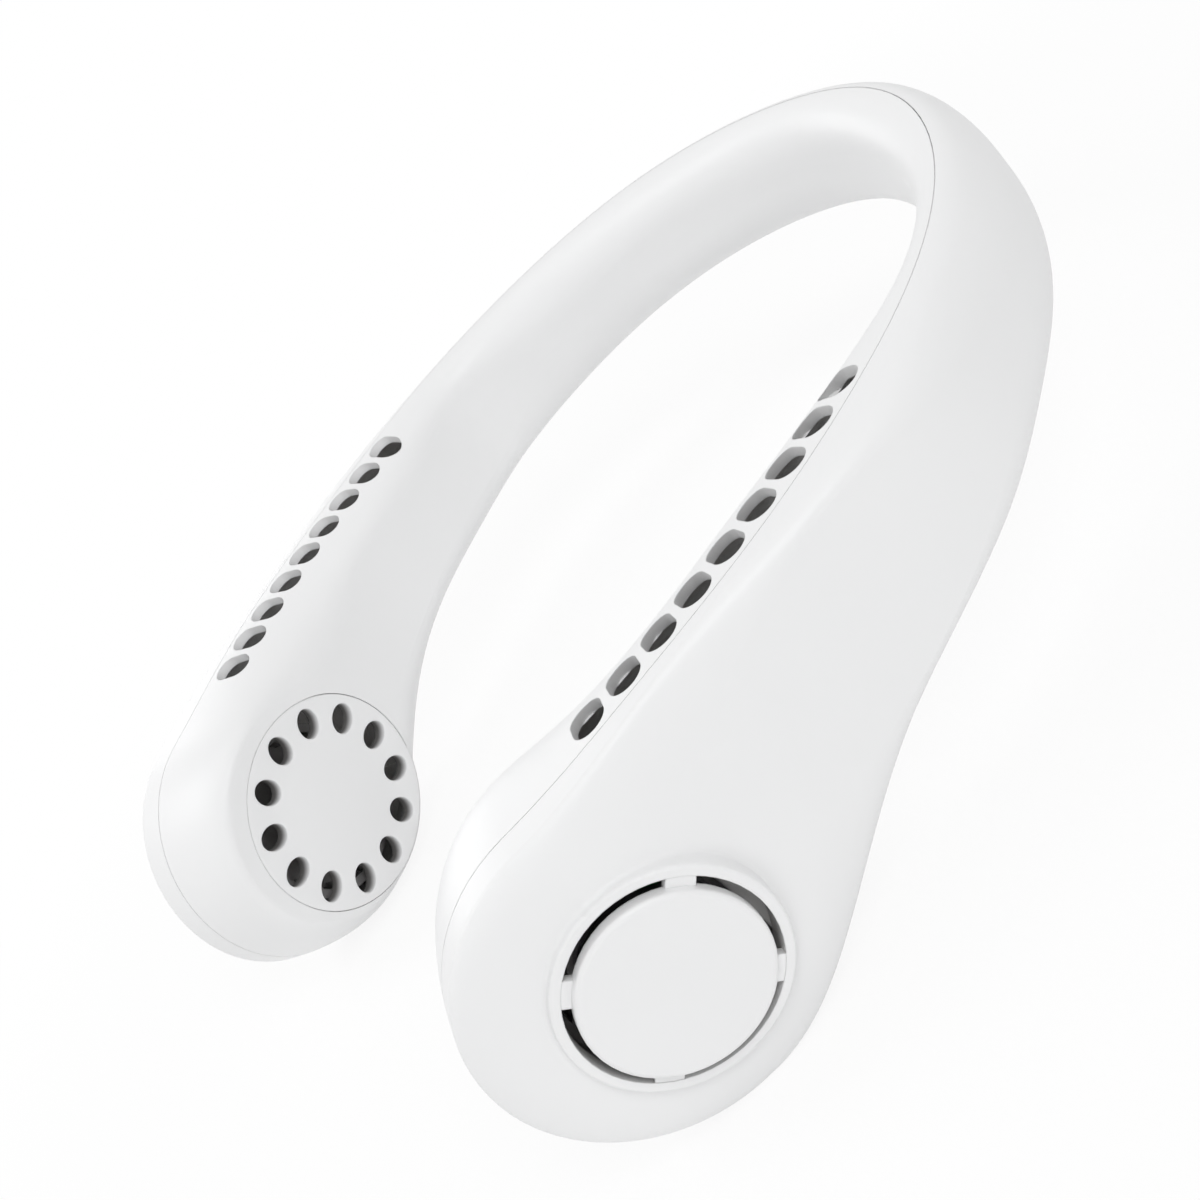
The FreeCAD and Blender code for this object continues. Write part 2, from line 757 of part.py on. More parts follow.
# Leads: tubes along the housing, on arcs that run beside the parting line
def track(position, offset):
    """Point, tangent and outward normal at lead height, by distance from the right pod to the left."""
    if position <= half_length:
        point, tangent, normal = spine(position)
        return point + normal * offset + Vector(0, 0, lead_height), tangent, normal
    point, tangent, normal = spine(2.0 * half_length - position)
    point = Vector(-point.x, point.y, 0)
    tangent = Vector(tangent.x, -tangent.y, 0)
    normal = Vector(-normal.x, normal.y, 0)
    return point + normal * offset + Vector(0, 0, lead_height), tangent, normal


def track_edges(start, end, offset):
    """Arcs of the track between two positions, parted where its radius changes."""
    breaks = [start]
    breaks += [place for place in (side_length, 2.0 * half_length - side_length) if start < place < end]
    breaks.append(end)
    edges = []
    for first, last in zip(breaks[:-1], breaks[1:]):
        points = [track(position, offset)[0] for position in (first, (first + last) / 2.0, last)]
        edges.append(Part.Arc(points[0], points[1], points[2]).toShape())
    return edges


def bent_end(position, offset, heading, towards, bend):
    """Straight tail and bend from a track position: the heading points off the track's end."""
    start = track(position, offset)[0]
    corner_point = start + towards * bend
    bend_end = corner_point + heading * bend
    tail_end = bend_end + towards * lead_tail
    return quarter_arc(start, bend_end, corner_point), line(bend_end, tail_end)


def lead(path, radius):
    """Round lead made of a turned piece for each arc of its path and a straight one for each line."""
    pieces = []
    for edge in path:
        start = edge.valueAt(edge.FirstParameter)
        direction = edge.tangentAt(edge.FirstParameter)
        disc = Part.Face(Part.Wire(Part.Circle(start, direction, radius).toShape()))
        if isinstance(edge.Curve, Part.Circle):
            angle = math.degrees(edge.Length / edge.Curve.Radius)
            pieces.append(disc.revolve(edge.Curve.Center, edge.Curve.Axis, angle))
        else:
            pieces.append(disc.extrude(direction * edge.Length))
    return joined(pieces)


full_length = 2.0 * half_length
motor_end = axis_back + stator_tab_contact * math.cos(math.radians(stator_tab_angle)) + lead_bend
board_front = full_length - board_along + board_length / 2.0 - lead_board_inset + lead_bend
board_rear = full_length - board_along - board_length / 2.0 + lead_board_inset - lead_bend
board_block = place_board(box(2.0 * board_length, 2.0 * board_height, board_inner_face,
                              2.0 * board_section.outer))
tab_block = place_axis(box(4.0 * tab_reach, 4.0 * tab_reach, stator_board_bottom, disc_top))
up = Vector(0, 0, 1)


def route(start, end, offset, start_towards=None, start_bend=lead_bend, end_towards=True):
    """Track edges between two positions, with an outward bend at each end unless told otherwise."""
    edges = track_edges(start, end, offset)
    point, tangent, normal = track(start, offset)
    if start_towards is None:
        start_towards = normal
    if start_bend:
        edges += bent_end(start, offset, tangent * -1.0, start_towards, start_bend)
    point, tangent, normal = track(end, offset)
    if end_towards:
        edges += bent_end(end, offset, tangent, normal, lead_bend)
    return edges


right_motor_path = route(motor_end, board_rear, lead_offset)
left_motor_path = route(board_front, full_length - motor_end, lead_offset)
battery_lead_start = battery_along + battery_length / 2.0 - battery_lead_inset
battery_lead_end = board_rear + battery_lead_inset - lead_board_inset
right_battery_path = route(battery_lead_start, battery_lead_end, second_lead_offset, up, lead_drop_bend)
cell_front = full_length - battery_along + battery_length / 2.0
left_battery_path = route(cell_front - battery_lead_inset, board_rear, battery_lead_offset, None, 0.0)

right_motor_lead = lead(right_motor_path, lead_radius).cut([tab_block, board_block])
left_motor_lead = lead(left_motor_path, lead_radius).cut([mirror(tab_block), board_block])
right_battery_lead = lead(right_battery_path, lead_radius).cut([battery, board_block])
left_battery_lead = lead(left_battery_path, lead_radius)
left_battery_lead.translate(up * battery_lead_rise)
left_battery_lead = left_battery_lead.cut([mirror(battery), board_block])
export("right_motor_lead", right_motor_lead)
export("left_motor_lead", left_motor_lead)
export("right_battery_lead", right_battery_lead)
export("left_battery_lead", left_battery_lead)
print("lead bend radii", lead_bend, lead_drop_bend, "track radii", side_radius, rear_radius)
lead_ways = [lead(path, lead_radius + lead_clearance)
             for path in (right_motor_path, left_motor_path, right_battery_path)]

# Housing: the hollow U, split along the parting line
body = housing_solid(0.0)
void = housing_solid(wall)
rib_limit = housing_solid(wall / 2.0)
inner_side = plan_block(-seam_gap / 2.0)
inner_cut = plan_block(seam_gap / 2.0)
reach = 2.0 * pod_radius

# Ribs inside: a cross wall behind the air slots and a curved wall beside each impeller, in both shells
partition = place(box(partition_thickness, 2.0 * reach, -reach, reach), partition_along, pod_radius)
cutoff_radius = grille_radius + ledge_root + cutoff_gap
sweep = cutoff_to - cutoff_from
low = Vector(0, 0, -reach)
cutoff = Part.makeCylinder(cutoff_radius + cutoff_thickness, 2.0 * reach, low, up, sweep)
cutoff = cutoff.cut(Part.makeCylinder(cutoff_radius, 2.0 * reach, low, up, sweep))
cutoff = place_axis(spun(cutoff, cutoff_from))
shared_ribs = both_sides([partition, cutoff])

# Cradle ribs round each cell, in the inner shell
cell_room = box(battery_length + 2.0 * battery_clearance, battery_height + 2.0 * battery_clearance,
                battery_inner_face - battery_clearance,
                battery_inner_face + battery_thickness + battery_clearance)
cradles = []
for shift in (-cradle_spacing / 2.0, cradle_spacing / 2.0):
    slab = box(cradle_thickness, reach, -reach, reach, shift)
    cradles.append(place(slab.cut(cell_room), battery_along, battery_middle))

# Lead clips and board bosses, in the outer shell
clips = [place(box(clip_length, clip_height, lead_offset - clip_reach, reach), along, lead_height)
         for along in clip_alongs]
boss_seat = board_outer_face + seat_clearance
board_bosses = [place_board(cylinder(board_boss_radius, boss_seat, reach, x_place, y_place))
                for x_place, y_place in board_screw_places]

inner_ribs = Part.makeCompound(shared_ribs + both_sides(cradles))
inner_ribs = inner_ribs.common(rib_limit).common(inner_side).cut(lead_ways)
outer_ribs = Part.makeCompound(shared_ribs + both_sides(clips) + board_bosses)
outer_ribs = outer_ribs.common(rib_limit).cut([inner_cut] + lead_ways)

# Charging port, half in each shell
port_play = 2.0 * usb_port_clearance
port = stadium(usb_width + port_play, usb_thickness + port_play, 0.0, usb_depth)
port.rotate(Vector(0, 0, 0), Vector(1, 0, 0), 90.0)
port.translate(Vector(0, usb_end + usb_depth / 2.0, usb_shift_z))
port = place_board(port)



# Outer shell: a raised rim with a soft foot round each intake disc
def axis_position(point):
    """Distance of a point from the blower axis on its side, and its level along that axis."""
    middle, tangent, normal = spine(0.0)
    middle = middle + tangent * axis_back + Vector(0, 0, axis_height)
    offset = Vector(abs(point.x), point.y, point.z) - middle
    level = offset.dot(normal)
    return (offset - normal * level).Length, level


def rim_edges(shape, lowest, highest):
    """Curved edges on the outside of the two raised rims between two levels."""
    found = []
    for edge in shape.Edges:
        places = [axis_position(point) for point in edge.discretize(5)]
        on_rim = all(abs(radius - rim_radius) < joint_tolerance for radius, level in places)
        if on_rim and all(lowest < level < highest for radius, level in places):
            found.append(edge)
    return found


disc_radius = intake_outer_radius - intake_slot
rim_radius = intake_outer_radius + boss_rim_width
rim_middle = (pod_outer_depth + boss_top) / 2.0
boss = place_axis(cylinder(rim_radius, pod_outer_depth - 2.0 * wall, boss_top))
raised = body.fuse(both_sides([boss]), joint_tolerance)
raised = raised.makeFillet(boss_foot_round, rim_edges(raised, wall, rim_middle))
raised = raised.makeFillet(boss_rim_round, rim_edges(raised, rim_middle, disc_top))
bore = place_axis(cylinder(intake_outer_radius, pod_outer_depth - 2.0 * wall, disc_top))
bridge_top = boss_top - bridge_sink
bridge_end = intake_outer_radius + boss_rim_width / 2.0
bridge_start = disc_radius - boss_rim_width
bridge = box(bridge_end - bridge_start, bridge_width, bridge_top - bridge_thickness, bridge_top,
             (bridge_start + bridge_end) / 2.0)
post = cylinder(post_radius, base_top + seat_clearance, disc_bottom + disc_thickness / 2.0, post_circle)
pilot = cylinder(motor_screw_radius + thread_clearance, base_top, disc_bottom, post_circle)
intake = joined([round_disc(disc_radius, disc_bottom, disc_top, disc_edge_round)]
                + around(bridge, bridge_count, bridge_first) + around(post, post_count, post_first))
intake = place_axis(intake.cut(Part.makeCompound(around(pilot, post_count, post_first))))
button_hole = place_board(cylinder(button_radius + button_clearance, flange_top, reach, button_shift))
light_hole = place_board(cylinder(light_radius + light_clearance, light_base, reach, light_shift))
board_pilots = [place_board(cylinder(board_screw_radius + thread_clearance, board_outer_face,
                                     screw_tip + thread_clearance, x_place, y_place))
                for x_place, y_place in board_screw_places]
outer_shell = raised.cut([inner_cut, void])
outer_shell = outer_shell.fuse(outer_ribs.Solids, joint_tolerance)
outer_shell = outer_shell.cut(both_sides([bore]) + [button_hole, light_hole, port] + board_pilots)
outer_shell = outer_shell.fuse(both_sides([intake]), joint_tolerance)
export("outer_shell", outer_shell)

# Inner shell: the neck side, with the grille seats and the row of slanted air slots
ledge_start = grille_thickness + seat_clearance
seat = place_face(cylinder(grille_radius, -grille_radius, ledge_start))
throat = place_face(cylinder(ledge_radius, -grille_radius, grille_radius / 2.0))
ledge = place_face(cylinder(grille_radius + ledge_root, grille_thickness / 2.0, ledge_end))
slot = spun(stadium(slot_length, slot_width, -slot_depth, slot_depth), slot_slant)
slot.rotate(Vector(0, 0, 0), Vector(1, 0, 0), slot_tilt - 90.0)
slot.translate(Vector(0, 0, -slot_offset))
slots = [place(slot, slot_first_along + index * slot_pitch, throat_section.top)
         for index in range(slot_count)]
inner_shell = body.common(inner_side).cut(void)
inner_shell = inner_shell.fuse(inner_ribs.Solids + both_sides([ledge]), joint_tolerance)
inner_shell = inner_shell.cut(both_sides([seat, throat] + slots) + [port])
export("inner_shell", inner_shell)
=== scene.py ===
import bmesh
import bpy
import json
import math
from mathutils import Matrix, Vector


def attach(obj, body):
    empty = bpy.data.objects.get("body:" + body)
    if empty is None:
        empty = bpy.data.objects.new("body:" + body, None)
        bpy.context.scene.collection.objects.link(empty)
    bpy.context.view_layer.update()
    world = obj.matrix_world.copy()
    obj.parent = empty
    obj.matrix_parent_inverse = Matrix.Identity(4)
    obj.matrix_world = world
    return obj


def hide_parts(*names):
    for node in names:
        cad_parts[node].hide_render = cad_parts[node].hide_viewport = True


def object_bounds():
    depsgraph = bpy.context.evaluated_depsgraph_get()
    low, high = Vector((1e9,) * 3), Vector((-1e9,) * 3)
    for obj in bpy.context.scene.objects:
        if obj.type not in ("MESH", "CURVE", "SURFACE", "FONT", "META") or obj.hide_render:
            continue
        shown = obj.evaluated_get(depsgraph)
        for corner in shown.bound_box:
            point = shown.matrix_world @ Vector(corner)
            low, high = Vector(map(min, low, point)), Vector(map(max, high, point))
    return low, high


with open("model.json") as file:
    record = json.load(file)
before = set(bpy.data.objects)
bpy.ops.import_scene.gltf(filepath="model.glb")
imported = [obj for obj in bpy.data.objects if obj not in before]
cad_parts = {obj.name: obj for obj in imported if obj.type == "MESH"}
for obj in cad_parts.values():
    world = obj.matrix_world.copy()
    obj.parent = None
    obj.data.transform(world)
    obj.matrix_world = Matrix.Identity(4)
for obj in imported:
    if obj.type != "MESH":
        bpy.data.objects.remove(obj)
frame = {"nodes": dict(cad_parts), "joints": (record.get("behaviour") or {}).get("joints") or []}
cad_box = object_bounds()

# Motor bases and screws: each base is a flange with a bearing tube, moulded in black nylon.
# Plain steel screws go through the flange into posts of the outer shell, and the same kind
# holds the circuit board on its bosses.


class Shade:
    """A socket of a material's node tree, with sums and products written as Python maths."""

    def __init__(self, tree, socket):
        self.tree = tree
        self.socket = socket

    def node(self, kind, settings, output, **inputs):
        """Add a node: its settings first, then the values or links of its sockets, by name or as i0, i1."""
        made = self.tree.nodes.new(kind)
        for key, value in settings.items():
            setattr(made, key, value)
        for key, value in inputs.items():
            target = made.inputs[int(key[1:]) if key[1:].isdigit() else key]
            if isinstance(value, Shade):
                self.tree.links.new(value.socket, target)
            else:
                target.default_value = value
        return Shade(self.tree, made.outputs[output])

    def maths(self, operation, first, second=0.0):
        return self.node("ShaderNodeMath", {"operation": operation}, 0, i0=first, i1=second)

    def __add__(self, other):
        return self.maths("ADD", self, other)

    def __radd__(self, other):
        return self.maths("ADD", other, self)

    def __sub__(self, other):
        return self.maths("SUBTRACT", self, other)

    def __rsub__(self, other):
        return self.maths("SUBTRACT", other, self)

    def __mul__(self, other):
        return self.maths("MULTIPLY", self, other)

    def __rmul__(self, other):
        return self.maths("MULTIPLY", other, self)

    def between(self, low, high):
        """0 below low, 1 above high, smooth between."""
        return self.node("ShaderNodeMapRange", {"interpolation_type": "SMOOTHSTEP"}, 0,
                         i0=self, i1=low, i2=high, i3=0.0, i4=1.0)

    def mix(self, start, end):
        """Colour from start to end by this factor."""
        return self.node("ShaderNodeMix", {"data_type": "RGBA"}, 2, i0=self, i6=start, i7=end)


def new_finish(name, **constants):
    """Material whose shader takes its constants on its own sockets, with its Object coordinates."""
    material = bpy.data.materials.new(name)
    material.use_nodes = True
    tree = material.node_tree
    shader = tree.nodes["Principled BSDF"]
    for key, value in constants.items():
        shader.inputs[key.replace("_", " ")].default_value = value
    places = tree.nodes.new("ShaderNodeTexCoord").outputs["Object"]
    return material, shader, Shade(tree, places)


def feed(shader, **sockets):
    """Link what changes over the surface to the shader's sockets."""
    for key, value in sockets.items():
        value.tree.links.new(value.socket, shader.inputs[key.replace("_", " ")])


def noise(places, size, detail=2.0, rough=0.5):
    """Soft noise whose lumps are about the given size in metres."""
    return places.node("ShaderNodeTexNoise", {}, 0, Vector=places, Scale=1.0 / size, Detail=detail,
                       Roughness=rough)


def bump(places, height, depth, strength, **base):
    """Normal of a relief that is as deep as given in metres where its height is 1."""
    return places.node("ShaderNodeBump", {}, 0, Height=height, Distance=depth, Strength=strength, **base)


def dress(material, *names):
    """Give CAD nodes a finish on every slot of theirs."""
    for name in names:
        for entry in frame["nodes"][name].material_slots:
            entry.material = material


def both(name):
    """Names of the two like pieces, one in each half of the fan."""
    return "right_" + name, "left_" + name


def black_nylon():
    grain_size = 0.0004
    grain_depth = 0.00002
    dark = (0.022, 0.022, 0.024, 1)
    light = (0.036, 0.036, 0.038, 1)
    material, shader, places = new_finish("black_nylon", Specular_IOR_Level=0.4)
    grain = noise(places, grain_size)
    feed(shader,
         Base_Color=grain.mix(dark, light),
         Roughness=0.42 + grain * 0.2,
         Normal=bump(places, grain, grain_depth, strength=0.6))
    return material


def ground_steel():
    scratch_size = 0.00035
    scratch_depth = 0.00001
    scratch_scale = (1.0, 1.0, 12.0)
    dark = (0.50, 0.50, 0.51, 1)
    light = (0.66, 0.66, 0.67, 1)
    material, shader, places = new_finish("ground_steel", Metallic=1.0)
    drawn = places.node("ShaderNodeMapping", {}, 0, Vector=places, Scale=scratch_scale)
    scratches = noise(drawn, scratch_size, detail=4.0, rough=0.6)
    feed(shader,
         Base_Color=scratches.mix(dark, light),
         Roughness=0.24 + scratches * 0.22,
         Normal=bump(places, scratches, scratch_depth, strength=0.4))
    return material


black_nylon_finish = black_nylon()
steel_finish = ground_steel()
dress(black_nylon_finish, *both("motor_base"))
dress(steel_finish, *both("motor_screws"), "board_screws")


# Stators: green stator boards, laminated iron stars and copper coils.
# The laminations are stamped silicon steel; each tooth carries a winding of enamelled wire,
# soldered to the board that takes the lead.
axis = {joint["name"]: Vector(joint["axis"]) for joint in frame["joints"]}


def along(places, direction):
    """Distance of a point along a direction."""
    return places.node("ShaderNodeVectorMath", {"operation": "DOT_PRODUCT"}, 1, i0=places, i1=direction)


def ripple(places, direction, pitch):
    """Wave from 0 to 1 along a direction."""
    turns = along(places, direction) * (2.0 * math.pi / pitch)
    return places.maths("SINE", turns) * 0.5 + 0.5


def solder_mask():
    weave_size = 0.0012
    track_size = 0.004
    track_edge = (0.46, 0.5)
    track_depth = 0.00003
    track_share = 0.35
    dark = (0.012, 0.105, 0.045, 1)
    light = (0.020, 0.135, 0.060, 1)
    over_tracks = (0.05, 0.25, 0.10, 1)
    material, shader, places = new_finish("solder_mask", Coat_Weight=0.4, Coat_Roughness=0.15)
    weave = noise(places, weave_size, detail=3.0)
    tracks = noise(places, track_size, detail=0.0).between(*track_edge)
    ground = weave.mix(dark, light)
    feed(shader,
         Base_Color=(tracks * track_share).mix(ground, over_tracks),
         Roughness=0.32 + weave * 0.15,
         Normal=bump(places, tracks, track_depth, strength=0.5))
    return material


def laminations(direction):
    sheet_thickness = 0.0005
    groove_depth = 0.00004
    dark = (0.20, 0.20, 0.21, 1)
    light = (0.42, 0.42, 0.44, 1)
    material, shader, places = new_finish("laminations", Metallic=1.0)
    layers = ripple(places, direction, sheet_thickness)
    feed(shader,
         Base_Color=layers.mix(dark, light),
         Roughness=0.5 - layers * 0.15,
         Normal=bump(places, layers, groove_depth, strength=0.6))
    return material


def copper_wire(direction):
    wire_width = 0.00026
    groove_depth = 0.00006
    tint_size = 0.003
    dark = (0.56, 0.22, 0.09, 1)
    light = (0.72, 0.34, 0.17, 1)
    material, shader, places = new_finish("copper_wire", Metallic=1.0)
    turns = ripple(places, direction, wire_width)
    tint = noise(places, tint_size)
    feed(shader,
         Base_Color=tint.mix(dark, light),
         Roughness=0.30 + tint * 0.15,
         Normal=bump(places, turns, groove_depth, strength=0.9))
    return material


mask_finish = solder_mask()
dress(mask_finish, *both("stator_board"))
for side in ("right", "left"):
    spin_axis = axis[side + "_fan_spin"]
    dress(laminations(spin_axis), side + "_stator_core")
    dress(copper_wire(spin_axis), side + "_coils")


# Rotors: drawn steel cups with ferrite rings, ground shafts and bronze bearings.
# The bearings are pressed into the base tubes; the cups carry the impellers on their outside.


def sintered_bronze():
    pore_size = 0.00018
    pore_depth = 0.00002
    dark = (0.36, 0.23, 0.11, 1)
    light = (0.58, 0.42, 0.22, 1)
    material, shader, places = new_finish("sintered_bronze", Metallic=1.0)
    pores = noise(places, pore_size, detail=3.0, rough=0.6)
    feed(shader,
         Base_Color=pores.mix(dark, light),
         Roughness=0.38 + pores * 0.25,
         Normal=bump(places, pores, pore_depth, strength=0.7))
    return material


def ferrite():
    grain_size = 0.0003
    grain_depth = 0.00003
    dark = (0.045, 0.044, 0.046, 1)
    light = (0.085, 0.083, 0.085, 1)
    material, shader, places = new_finish("ferrite", Specular_IOR_Level=0.5)
    grain = noise(places, grain_size, detail=3.0, rough=0.6)
    feed(shader,
         Base_Color=grain.mix(dark, light),
         Roughness=0.5 + grain * 0.25,
         Normal=bump(places, grain, grain_depth, strength=0.6))
    return material


dress(steel_finish, *both("rotor_cup"), *both("shaft"))
dress(ferrite(), *both("magnet_ring"))
dress(sintered_bronze(), *both("bearings"))


# Impellers: one moulding each, with forward-curved blades between two end rings.
# Grey nylon, pushed over the rotor cup and seen through the grille holes and the intake ring.


def grey_nylon():
    grain_size = 0.0005
    grain_depth = 0.00002
    dark = (0.36, 0.354, 0.352, 1)
    light = (0.42, 0.414, 0.412, 1)
    material, shader, places = new_finish("grey_nylon", Specular_IOR_Level=0.4)
    grain = noise(places, grain_size)
    feed(shader,
         Base_Color=grain.mix(dark, light),
         Roughness=0.40 + grain * 0.15,
         Normal=bump(places, grain, grain_depth, strength=0.6))
    return material


dress(grey_nylon(), *both("impeller"))


# Cells and leads: flat pouch cells in laminate foil and their insulated leads.
# The cells lie in the cradles of the rear arms; the leads follow the arms to the board.


def laminate_foil():
    crease_size = 0.005
    crease_depth = 0.0002
    dark = (0.58, 0.59, 0.61, 1)
    light = (0.72, 0.73, 0.75, 1)
    material, shader, places = new_finish("laminate_foil", Metallic=1.0)
    creases = noise(places, crease_size, detail=3.0, rough=0.55)
    feed(shader,
         Base_Color=creases.mix(dark, light),
         Roughness=0.30 + creases * 0.2,
         Normal=bump(places, creases, crease_depth, strength=0.5))
    return material


def lead_sleeve(name, dark, light):
    grain_size = 0.0006
    grain_depth = 0.00002
    material, shader, places = new_finish(name, Specular_IOR_Level=0.4)
    grain = noise(places, grain_size)
    feed(shader,
         Base_Color=grain.mix(dark, light),
         Roughness=0.45 + grain * 0.15,
         Normal=bump(places, grain, grain_depth, strength=0.4))
    return material


black_sleeve = lead_sleeve("black_sleeve", dark=(0.016, 0.016, 0.017, 1), light=(0.03, 0.03, 0.031, 1))
red_sleeve = lead_sleeve("red_sleeve", dark=(0.38, 0.012, 0.012, 1), light=(0.52, 0.03, 0.025, 1))
dress(laminate_foil(), *both("battery"))
dress(black_sleeve, *both("motor_lead"))
dress(red_sleeve, *both("battery_lead"))


# Circuit board with its chips, switch and charging socket, screwed to the outer shell in the left arm.
# Glass fibre under green solder mask; the socket is a folded steel shell.
dress(mask_finish, "main_board")
dress(black_nylon_finish, "board_chips", "tact_switch")
dress(steel_finish, "usb_socket")


# Light pipe: a pin of clear acrylic that leads the board's light to the outer face of the left arm.
# It is moulded in one piece and stands on the emitter chip, in a round hole of the outer shell.


def clear_acrylic():
    haze_size = 0.0008
    dark = (0.86, 0.90, 0.92, 1)
    light = (0.95, 0.97, 0.98, 1)
    material, shader, places = new_finish("clear_acrylic", IOR=1.49, Transmission_Weight=0.9)
    haze = noise(places, haze_size, detail=3.0)
    feed(shader,
         Base_Color=haze.mix(dark, light),
         Roughness=0.12 + haze * 0.12)
    return material


dress(clear_acrylic(), "light_pipe")


# Housing: two shells and the button cap, moulded in white ABS with a satin skin from the tool's fine
# spark finish. The shells close on each other along the parting line, and the cap slides in the outer
# one. Deep inside, where little light falls, shade is painted into the colour and the white turns grey.


def painted_shade_mask(places):
    """Painted shade mask: 1 outside and on undersides near the floor, 0 deep between walls close by."""
    cavity_reach = 0.05
    inside_share = 0.06
    outside_share = 0.18
    level_lean = 0.15
    downward_lean = 0.45
    floor_shade = 0.027
    floor_shade_end = 0.0324
    openness = places.node("ShaderNodeAmbientOcclusion", {"samples": 8}, 1, Distance=cavity_reach)
    facing = Shade(places.tree, places.socket.node.outputs["Normal"])
    underside = along(facing, (0.0, 0.0, -1.0)).between(level_lean, downward_lean)
    low = 1.0 - along(places, (0.0, 0.0, 1.0)).between(floor_shade, floor_shade_end)
    return places.maths("MAXIMUM", openness.between(inside_share, outside_share), underside * low)


def satin_white(name, inside, outside):
    """White skin where outside gives 1, and the colour inside, painted shade, where it gives 0."""
    skin_size = 0.00022
    skin_depth = 0.00001
    flow_size = 0.03
    lip_round = 0.0003
    dull_white = (0.84, 0.843, 0.847, 1)
    clean_white = (0.865, 0.867, 0.87, 1)
    material, shader, places = new_finish(name, Specular_IOR_Level=0.45)
    skin = noise(places, skin_size, rough=0.55)
    flow = noise(places, flow_size)
    white = flow.mix(dull_white, clean_white)
    rounded = places.node("ShaderNodeBevel", {"samples": 4}, 0, Radius=lip_round)
    feed(shader,
         Base_Color=outside(places).mix(inside, white),
         Roughness=0.36 + skin * 0.10 + flow * 0.04,
         Normal=bump(places, skin, skin_depth, strength=0.35, Normal=rounded))
    return material


# The inside colour is painted shade: the shells' cavities are greyed in the base colour.
housing_finish = satin_white("satin_white", inside=(0.62, 0.61, 0.60, 1), outside=painted_shade_mask)
dress(housing_finish, "outer_shell", "inner_shell", "power_button")


# Grilles: a flush disc in the inner face of each pod, moulded in the same white ABS. Its twelve oval
# air holes have rounded lips and short collars behind them, and four hooks snap behind a ledge.
grille_radius = 0.0232
grille_thickness = 0.0018
edge_round = 0.0002
rim_segments = 128
hole_count = 12
hole_circle = 0.018
hole_half_length = 0.0033
hole_half_width = 0.0027
hole_lip = 0.0003
hole_segments = 48
collar_depth = 0.0034
collar_wall = 0.00035
hook_count = 4
hook_width = 0.003
hook_stem = 0.001
hook_barb = 0.0006
hook_outer = 0.0217
hook_depth = 0.00424
hook_sink = 0.0002
same_place = edge_round / 100.0
crease_angle = math.radians(12.0)
face_centre = Vector((0.0556912, -0.0635367, 0.0272))
face_out = Vector((-0.953691, 0.280561, -0.108439))
to_first_hole = Vector((-0.28296, -0.95913, 0.00699))


def quarter_round(size, steps=4):
    """Outset and depth of each step of a rounded edge, from the face down to the wall."""
    turns = [math.pi / 2.0 * (step + 1) / steps for step in range(steps)]
    return [(size * (1.0 - math.sin(turn)), size * (1.0 - math.cos(turn))) for turn in turns]


def sink_wall(mesh, segments, half_length, half_width, start, steps):
    """Oval ring on the face, extruded through steps of outset from its half sizes and depth."""
    points = bmesh.ops.create_circle(mesh, segments=segments, radius=1.0)["verts"]
    ring = list({edge for point in points for edge in point.link_edges})
    bmesh.ops.scale(mesh, vec=(half_length + start, half_width + start, 1.0), verts=points)
    level = 0.0
    for outset, depth in steps:
        grown = bmesh.ops.extrude_edge_only(mesh, edges=ring)["geom"]
        ring = [part for part in grown if isinstance(part, bmesh.types.BMEdge)]
        points = [part for part in grown if isinstance(part, bmesh.types.BMVert)]
        longer = (half_length + outset) / (half_length + start)
        wider = (half_width + outset) / (half_width + start)
        bmesh.ops.scale(mesh, vec=(longer, wider, 1.0), verts=points)
        bmesh.ops.translate(mesh, vec=(0.0, 0.0, level - depth), verts=points)
        start = outset
        level = depth


def repeat_around(mesh, count):
    """Copies of all that a mesh holds, evenly around its Z axis."""
    step = 2.0 * math.pi / count
    everything = mesh.verts[:] + mesh.edges[:] + mesh.faces[:]
    bmesh.ops.spin(mesh, geom=everything, cent=(0.0, 0.0, 0.0), axis=(0.0, 0.0, 1.0),
                   angle=step * (count - 1), steps=count - 1, use_duplicate=True)


grille = bmesh.new()
collar = [(0.0, collar_depth), (collar_wall, collar_depth), (collar_wall, grille_thickness)]
hole_wall = quarter_round(hole_lip) + collar
sink_wall(grille, hole_segments, hole_half_length, hole_half_width, hole_lip, hole_wall)
bmesh.ops.translate(grille, vec=(hole_circle, 0.0, 0.0), verts=grille.verts)
repeat_around(grille, hole_count)
rim_wall = [(-inset, depth) for inset, depth in quarter_round(edge_round)] + [(0.0, grille_thickness)]
sink_wall(grille, rim_segments, grille_radius, grille_radius, -edge_round, rim_wall)
for level in (0.0, -grille_thickness):
    open_edges = [edge for edge in grille.edges
                  if edge.is_boundary and all(abs(end.co.z - level) < same_place for end in edge.verts)]
    bmesh.ops.triangle_fill(grille, use_beauty=True, edges=open_edges, normal=(0.0, 0.0, 1.0))

hook = bmesh.new()
bmesh.ops.create_cube(hook, size=1.0)
bmesh.ops.scale(hook, vec=(hook_stem + hook_barb, hook_width, hook_stem), verts=hook.verts)
barb_middle = hook_outer + (hook_barb - hook_stem) / 2.0
bmesh.ops.translate(hook, vec=(barb_middle, 0.0, hook_stem / 2.0 - hook_depth), verts=hook.verts)
bmesh.ops.bisect_plane(hook, geom=hook.verts[:] + hook.edges[:] + hook.faces[:], dist=same_place,
                       plane_co=(hook_outer, 0.0, 0.0), plane_no=(1.0, 0.0, 0.0))
facing_up = 0.9
stem_foot = [face for face in hook.faces
             if face.normal.z > facing_up and face.calc_center_median().x < hook_outer]
stem = bmesh.ops.extrude_face_region(hook, geom=stem_foot)["geom"]
stem_points = [part for part in stem if isinstance(part, bmesh.types.BMVert)]
stem_length = hook_depth - hook_stem - grille_thickness + hook_sink
bmesh.ops.translate(hook, vec=(0.0, 0.0, stem_length), verts=stem_points)
bmesh.ops.delete(hook, geom=stem_foot, context="FACES_ONLY")
